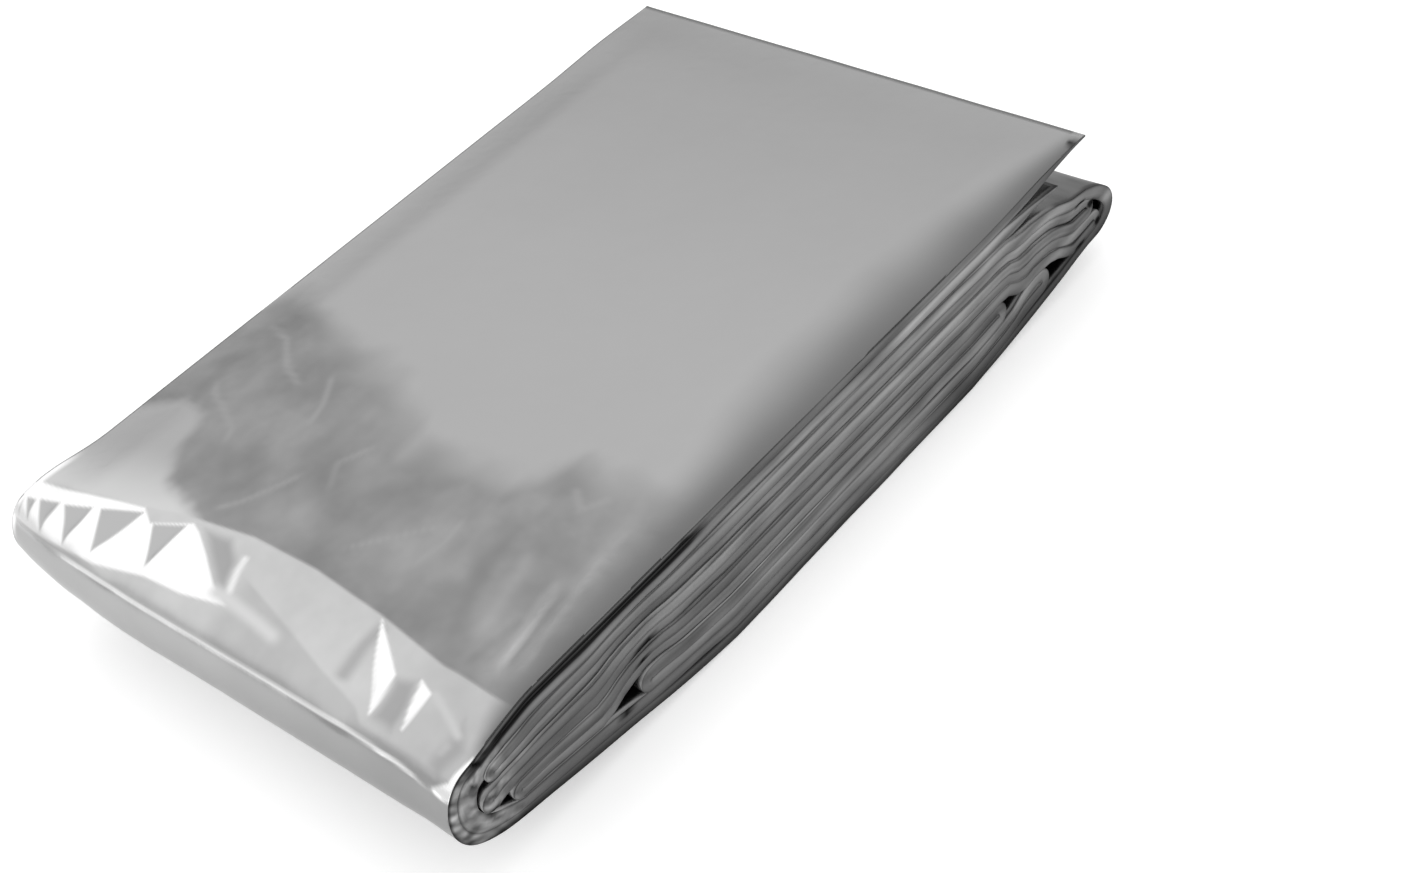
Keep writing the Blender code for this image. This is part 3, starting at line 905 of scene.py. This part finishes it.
def side_tone(y, z, through, rows):
    """Painted brightness of the long edges: painted shade and reflection in soft bands by height, painted
    shade at the seams between the layers and in pits.
    """
    low = floor_height(y) - FLOOR_LAYER
    high = PACK_HEIGHT - RIGHT_ROLL - slope_drop(y, SLOPE_FROM)
    share = (z - low) / (high - low) + BAND_DRIFT * field(y, z * DRIFT_STRETCH, DRIFT)
    middle = numpy.interp(share, *zip(*MIDDLE_BANDS))
    back = numpy.interp(share, *zip(*BACK_BANDS))
    tone = BAND_SHARE * mixed(middle, back, smooth((y - BACK_BANDS_FROM) / BACK_BANDS_OVER))
    tone = tone * (1.0 + BAND_GAIN * smooth((y - BAND_GAIN_FROM) / BAND_GAIN_OVER))
    tone = tone * (1.0 + BAND_MOTTLE * field(y, z * MOTTLE_STRETCH, MOTTLE))
    # Painted shade at each layer's upper and lower corner
    tone = mixed(tone, SEAM_SHARE * tone, numpy.abs(through)[None, :] ** SEAM_POWER)
    # Painted shadow line in the gap below the cover's lip
    gap = (1.0 - smooth((y - COVER_GAP_TO) / COVER_GAP_OVER)) * smooth((y - GAP_LINE_FROM) / GAP_LINE_OVER)
    run = rows["run"][:, None]
    lip = smooth(1.0 - run) * eased(through[None, :], LIP_BELOW)
    beside_lip = smooth(run - BESIDE_RUN) * eased(through[None, :], BESIDE_LIP)
    tone = mixed(tone, DEEP_SHADE_BASE, gap * (lip + beside_lip))
    # Painted glints and shade in specks at the crinkled front end
    front = 1.0 - eased(y, FRONT_SPECKS)
    tone = tone * (1.0 + front * (SPECK_LIFT + SPECK_CONTRAST * field(y + z, z, NOSE_SPECKS)))
    # Painted shade outline of the outer wrap at the front nose
    outline = smooth(1.0 - run) * eased(through[None, :], OUTLINE_ABOVE) * front
    tone = mixed(tone, DEEP_SHADE_BASE, outline)
    # Painted shade in the pits
    for pit in PITS:
        distance = numpy.hypot((y - pit["y"]) / pit["long"], (z - pit["z"]) / pit["high"])
        tone = mixed(tone, DEEP_SHADE_BASE, eased(distance, PIT_REACH))
    return tone


def place_rows(rows, columns):
    """Points and painted brightness (painted reflections and shade) of the loops round the strip at some of
    the path's rows.
    """
    x, through, side = loop_template(columns)
    count = len(rows["y"])
    across = numpy.tile(x, (count, 1))
    along = numpy.tile(rows["along"][:, None], (1, len(x)))
    on_edge = numpy.abs(side) > 0.0
    cover_face = (through == 1.0) & ~on_edge

    # Inner faces of the layers: painted shade, a little uneven
    base = INNER_BASE * (1.0 + INSIDE_UNEVEN * field(across, along, INSIDE))
    lift = numpy.zeros(across.shape)
    marks, heights = cover_marks(across[:, cover_face], along[:, cover_face])
    base[:, cover_face], lift[:, cover_face] = marks, heights

    ply = 0.5 + 0.5 * numpy.cos(math.pi * PLY_COUNT * (1.0 - through[None, :]) + rows["phase"][:, None])
    lines = numpy.round((1.0 - through) / 2.0 * (STREAK_COUNT - 1)).astype(int)
    streak = rows["streaks"][:, lines]
    rounded = numpy.abs(through) ** EDGE_POWER
    outward = EDGE_ROUND * (1.0 - rounded) - PLY_DEPTH * ply + STREAK_DEPTH * streak
    across = across + side * outward

    near_right = smooth((across - STRIP_WIDTH / 2 + EDGE_WAVE_ZONE) / EDGE_WAVE_ZONE)
    near_left = smooth((-across - STRIP_WIDTH / 2 + EDGE_WAVE_ZONE) / EDGE_WAVE_ZONE)
    across = across + near_right * rows["right_wave"][:, None] - near_left * rows["left_wave"][:, None]
    flare = smooth((-across - STRIP_WIDTH / 2 + FLARE_WIDTH) / FLARE_WIDTH)
    across = across - LEFT_FLARE * flare * bump((along - FLARE_AT) / FLARE_REACH)

    bead = smooth((numpy.abs(x) - STRIP_WIDTH / 2 + BEAD_ZONE) / BEAD_ZONE)[None, :]
    room = numpy.where(through[None, :] > 0.0, rows["room_first"][:, None], rows["room_second"][:, None])
    face = numpy.minimum(rows["half"][:, None], room - FACE_GAP)
    half = mixed(FREE_EDGE_HALF, mixed(face, room, bead), rows["full"][:, None])
    offset = through[None, :] * half + lift
    y = rows["y"][:, None] + rows["normal_y"][:, None] * offset
    z = rows["z"][:, None] + rows["normal_z"][:, None] * offset
    placed = numpy.stack(settle(across + rows["right"][:, None], y, z), axis=2)
    # Painted shade of the edges, lighter and darker along the ply streaks as painted reflection
    edge_base = side_tone(placed[:, :, 1], placed[:, :, 2], through, rows) * (1.0 + STREAK_CONTRAST * streak)
    at_back = eased(y, AT_BACK)
    under = out_of_sight(along)
    by_the_edge = eased(numpy.abs(x), BY_THE_EDGE)[None, :]
    by_the_edge = by_the_edge * numpy.where(cover_face[None, :], under * at_back, 1.0)
    # Inner faces are painted darker at the back, and near the edges they take the side's painted shade,
    # darkening to a painted shade line at the back
    base = numpy.where(cover_face[None, :], base, base * (1.0 - BACK_DARKENS * at_back))
    base = mixed(base, mixed(LEDGE_SHARE * edge_base, BACK_LINE_BASE, at_back), by_the_edge)
    base = numpy.where(on_edge[None, :], edge_base, base)
    inner_dullness = INNER_DULLNESS * numpy.where(cover_face[None, :], under, 1.0)
    return placed, base, numpy.where(on_edge[None, :], 1.0, inner_dullness)


def path_rows():
    """Everything that is the same all the way round the strip, row by row."""
    points, known = folded_path()
    right, runs, room_first, room_second = known.T
    steps = numpy.hypot(*numpy.diff(points, axis=0).T)
    travelled = numpy.concatenate([[0.0], numpy.cumsum(steps)])
    crease = FRONT_NOSE[CREASE_ROW]
    nose = numpy.argmin(numpy.hypot(points[:, 0] - crease["y"], points[:, 1] - crease["z"]) + runs)
    way = numpy.gradient(points, axis=0)
    way /= numpy.linalg.norm(way, axis=1)[:, None]
    calm = eased(runs, COVER_IS_CALM)
    wave = EDGE_WAVE * wander(RIGHT_SEED, travelled, EDGE_WAVE_LENGTH)
    ripple = EDGE_RIPPLE * wander(RIPPLE_SEED, travelled, EDGE_RIPPLE_LENGTH)
    other = EDGE_WAVE * wander(LEFT_SEED, travelled, EDGE_WAVE_LENGTH)
    streaks = [wander(STREAK_SEED + each, travelled, STREAK_LENGTH) for each in range(STREAK_COUNT)]
    half, full = half_thickness(points, travelled)
    return {
        "y": points[:, 0],
        "z": points[:, 1],
        "normal_y": way[:, 1],
        "normal_z": -way[:, 0],
        "right": RIGHT_SHARE * right,
        "run": runs,
        "along": travelled[nose] - travelled,
        "half": half,
        "full": full,
        "room_first": room_first,
        "room_second": room_second,
        "phase": PLY_DRIFT * wander(PHASE_SEED, travelled, EDGE_WAVE_LENGTH),
        "right_wave": (wave + ripple) * mixed(COVER_WAVE_SHARE, 1.0, calm),
        "left_wave": (other + ripple) * mixed(COVER_WAVE_SHARE, 1.0, calm),
        "streaks": numpy.stack(streaks, axis=1),
    }


def some_rows(rows, first, last):
    return {name: values[first:last] for name, values in rows.items()}


def band_faces(start, row_count, loop_count):
    """Quads between rows of equal loops."""
    faces = []
    for row in range(row_count - 1):
        low = start + row * loop_count
        for place in range(loop_count):
            after = (place + 1) % loop_count
            faces.append((low + place, low + after, low + loop_count + after, low + loop_count + place))
    return faces


def joining_faces(fine_start, fine_columns, fine_count, coarse_start, coarse_count):
    """Faces between a loop of fine columns and one of coarse columns."""
    places = [int(numpy.argmin(numpy.abs(fine_columns - column))) for column in COARSE_COLUMNS]
    faces = []
    for step, (low, high) in enumerate(zip(places, places[1:])):
        fine = [fine_start + place for place in range(low, high + 1)]
        faces.append((*fine, coarse_start + step + 1, coarse_start + step))
    rest = fine_count - places[-1]
    for step in range(rest):
        here = fine_start + places[-1] + step
        after = fine_start + (places[-1] + step + 1) % fine_count
        there = coarse_start + len(COARSE_COLUMNS) - 1 + step
        beyond = coarse_start + (len(COARSE_COLUMNS) + step) % coarse_count
        faces.append((here, after, beyond, there))
    return faces


def film_mesh():
    """The swept sheet of film, closed at both free ends."""
    rows = path_rows()
    split = int(numpy.argmax(rows["along"] < FINE_UNTIL_ALONG))
    fine_columns = spaced(COARSE_COLUMNS[0], FINE_COLUMNS)
    fine_points, fine_base, fine_edge = place_rows(some_rows(rows, 0, split), fine_columns)
    coarse_columns = numpy.array(COARSE_COLUMNS)
    coarse_points, coarse_base, coarse_edge = place_rows(some_rows(rows, split, None), coarse_columns)

    fine_rows, fine_count = fine_base.shape
    coarse_rows, coarse_count = coarse_base.shape
    coarse_start = fine_rows * fine_count
    faces = band_faces(0, fine_rows, fine_count)
    faces += joining_faces(coarse_start - fine_count, fine_columns, fine_count, coarse_start, coarse_count)
    faces += band_faces(coarse_start, coarse_rows, coarse_count)
    total = coarse_start + coarse_rows * coarse_count
    faces.append(tuple(range(fine_count))[::-1])
    faces.append(tuple(range(total - coarse_count, total)))

    points = numpy.concatenate([fine_points.reshape(-1, 3), coarse_points.reshape(-1, 3)])
    right = [RIGHT_SHARE * run["right"] for run in RUNS]
    centre_x = (min(right) + max(right)) / 2.0
    centre_y = (min(row["y"] for row in FRONT_NOSE) + max(row["y"] for row in BACK_NOSE)) / 2.0
    points = (points - (centre_x, centre_y, 0.0)) * METRES_PER_MM
    mesh = bpy.data.meshes.new("foil_film")
    mesh.from_pydata([tuple(point) for point in points], [], faces)
    for name, fine, coarse in (("tone", fine_base, coarse_base), ("edge", fine_edge, coarse_edge)):
        values = numpy.concatenate([fine.ravel(), coarse.ravel()])
        mesh.attributes.new(name, "FLOAT", "POINT").data.foreach_set("value", values.astype("f"))
    mesh.shade_smooth()
    mesh.update()
    return mesh


# Material

# How much rougher the long edges are than the faces
EDGE_DULLNESS = 0.25
# How bright it is when seen along its surface
EDGE_TINT = 0.8
DULL_TINT = 0.3
LEAST_ROUGHNESS = 0.14
MOST_ROUGHNESS = 0.26
GLOSS_SCALE = 220.0
CRINKLE_SCALE = 420.0
CRINKLE_STRENGTH = 0.25
CRINKLE_HEIGHT = 0.00012


def new_node(tree, kind, **inputs):
    """A node with its inputs set by name."""
    node = tree.nodes.new(kind)
    for name, value in inputs.items():
        node.inputs[name.replace("_", " ")].default_value = value
    return node


def film_material():
    """Bright metallised film: its painted brightness (painted reflections, highlights and shade), fine
    crinkles and a slightly uneven gloss.
    """
    material = bpy.data.materials.new("film")
    material.use_nodes = True
    tree = material.node_tree
    shader = tree.nodes["Principled BSDF"]
    shader.inputs["Metallic"].default_value = 1.0

    tone = tree.nodes.new("ShaderNodeAttribute")
    tone.attribute_name = "tone"
    place = tree.nodes.new("ShaderNodeTexCoord")
    colour = tree.nodes.new("ShaderNodeCombineColor")
    for channel in ("Red", "Green", "Blue"):
        tree.links.new(tone.outputs["Fac"], colour.inputs[channel])
    tree.links.new(colour.outputs["Color"], shader.inputs["Base Color"])

    gloss = new_node(tree, "ShaderNodeTexNoise", Scale=GLOSS_SCALE, Detail=3.0, Roughness=0.55)
    spread = new_node(tree, "ShaderNodeMapRange", To_Min=LEAST_ROUGHNESS, To_Max=MOST_ROUGHNESS)
    tree.links.new(place.outputs["Object"], gloss.inputs["Vector"])
    tree.links.new(gloss.outputs["Fac"], spread.inputs["Value"])
    edge = tree.nodes.new("ShaderNodeAttribute")
    edge.attribute_name = "edge"
    duller = tree.nodes.new("ShaderNodeMath")
    duller.operation = "MULTIPLY_ADD"
    duller.inputs[1].default_value = EDGE_DULLNESS
    tree.links.new(edge.outputs["Fac"], duller.inputs[0])
    sheen = new_node(tree, "ShaderNodeMapRange", To_Min=EDGE_TINT, To_Max=DULL_TINT)
    tree.links.new(edge.outputs["Fac"], sheen.inputs["Value"])
    tree.links.new(sheen.outputs["Result"], shader.inputs["Specular Tint"])
    tree.links.new(spread.outputs["Result"], duller.inputs[2])
    tree.links.new(duller.outputs["Value"], shader.inputs["Roughness"])

    crinkle = new_node(tree, "ShaderNodeTexNoise", Scale=CRINKLE_SCALE, Detail=4.0, Roughness=0.5,
                       Distortion=0.6)
    raised = new_node(tree, "ShaderNodeBump", Strength=CRINKLE_STRENGTH, Distance=CRINKLE_HEIGHT)
    tree.links.new(place.outputs["Object"], crinkle.inputs["Vector"])
    tree.links.new(crinkle.outputs["Fac"], raised.inputs["Height"])
    tree.links.new(raised.outputs["Normal"], shader.inputs["Normal"])
    return material


def build_film():
    """The one piece: it replaces the plain solid and takes its place."""
    film = bpy.data.objects.new("foil_film", film_mesh())
    film.data.materials.append(film_material())
    bpy.context.scene.collection.objects.link(film)
    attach(film, "root")
    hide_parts("blanket")
    return film


# Studio

CAMERA_TARGET = (22.86, -2.72, 12.0)
CAMERA_AZIMUTH = 48.24
CAMERA_ELEVATION = 41.69
CAMERA_DISTANCE = 277.2
CAMERA_ROLL = -13.26
CAMERA_LENS = 55.28
SENSOR_WIDTH = 36.0
CAMERA_NEAREST = 0.01

FLOOR_SIZE = 6.0
FLOOR_DROP = 0.0002
FLOOR_BASE = 0.90
FLOOR_GLOW = 0.36
SKY_STOPS = (
    {"height": 0.00, "light": 0.88},
    {"height": 0.30, "light": 0.72},
    {"height": 0.42, "light": 0.79},
    {"height": 0.50, "light": 0.97},
    {"height": 1.00, "light": 1.04},
)
# A soft box high above the back
BOX_AZIMUTH = 180.0
BOX_ELEVATION = 80.0
BOX_DISTANCE = 0.9
BOX_WIDTH = 0.5
BOX_HEIGHT = 0.5
BOX_RADIANCE = 0.35


def around(azimuth, elevation):
    """Direction from the object to a place round it; azimuth 0 is in front, 90 on the right."""
    azimuth, elevation = math.radians(azimuth), math.radians(elevation)
    flat = math.cos(elevation)
    return Vector((math.sin(azimuth) * flat, -math.cos(azimuth) * flat, math.sin(elevation)))


def add_camera():
    """The photograph's view."""
    back = around(CAMERA_AZIMUTH, CAMERA_ELEVATION)
    data = bpy.data.cameras.new("camera")
    data.sensor_width = SENSOR_WIDTH
    data.lens = CAMERA_LENS
    data.clip_start = CAMERA_NEAREST
    camera = bpy.data.objects.new("camera", data)
    camera.location = (Vector(CAMERA_TARGET) + back * CAMERA_DISTANCE) * METRES_PER_MM
    camera.rotation_mode = "QUATERNION"
    roll = Quaternion((0.0, 0.0, 1.0), math.radians(CAMERA_ROLL))
    camera.rotation_quaternion = (-back).to_track_quat("-Z", "Y") @ roll
    bpy.context.scene.collection.objects.link(camera)
    bpy.context.scene.camera = camera


def add_floor():
    """A plain pale floor."""
    bpy.ops.mesh.primitive_plane_add(size=FLOOR_SIZE, location=(0.0, 0.0, -FLOOR_DROP))
    floor = bpy.context.object
    floor.name = "floor"
    material = bpy.data.materials.new("pale_floor")
    material.use_nodes = True
    shader = material.node_tree.nodes["Principled BSDF"]
    shader.inputs["Base Color"].default_value = (FLOOR_BASE, FLOOR_BASE, FLOOR_BASE, 1.0)
    shader.inputs["Roughness"].default_value = 1.0
    shader.inputs["Specular IOR Level"].default_value = 0.0
    shader.inputs["Emission Color"].default_value = (1.0, 1.0, 1.0, 1.0)
    shader.inputs["Emission Strength"].default_value = FLOOR_GLOW
    floor.data.materials.append(material)


def add_sky():
    """Soft light from all round: pale at the horizon, greyer above it and brightest overhead."""
    world = bpy.data.worlds.new("studio")
    bpy.context.scene.world = world
    world.use_nodes = True
    tree = world.node_tree
    background = tree.nodes["Background"]
    place = tree.nodes.new("ShaderNodeTexCoord")
    split = tree.nodes.new("ShaderNodeSeparateXYZ")
    ramp = tree.nodes.new("ShaderNodeFloatCurve")
    curve = ramp.mapping.curves[0]
    highest = max(stop["light"] for stop in SKY_STOPS)
    first, last = curve.points[0], curve.points[-1]
    first.location = (0.0, SKY_STOPS[0]["light"] / highest)
    last.location = (1.0, SKY_STOPS[-1]["light"] / highest)
    for stop in SKY_STOPS[1:-1]:
        curve.points.new(stop["height"], stop["light"] / highest)
    ramp.mapping.update()
    tree.links.new(place.outputs["Generated"], split.inputs["Vector"])
    tree.links.new(split.outputs["Z"], ramp.inputs["Value"])
    tree.links.new(ramp.outputs["Value"], background.inputs["Color"])
    background.inputs["Strength"].default_value = highest


def add_soft_box():
    """One broad soft light."""
    data = bpy.data.lights.new("soft_box", "AREA")
    data.shape = "RECTANGLE"
    data.size = BOX_WIDTH
    data.size_y = BOX_HEIGHT
    data.energy = BOX_RADIANCE * math.pi * BOX_WIDTH * BOX_HEIGHT
    light = bpy.data.objects.new("soft_box", data)
    way = around(BOX_AZIMUTH, BOX_ELEVATION)
    light.location = way * BOX_DISTANCE
    light.rotation_mode = "QUATERNION"
    light.rotation_quaternion = way.to_track_quat("Z", "Y")
    light.visible_camera = False
    bpy.context.scene.collection.objects.link(light)


def main():
    add_camera()
    add_floor()
    add_sky()
    add_soft_box()
    build_film()
    bpy.context.scene.view_settings.view_transform = "Standard"


main()
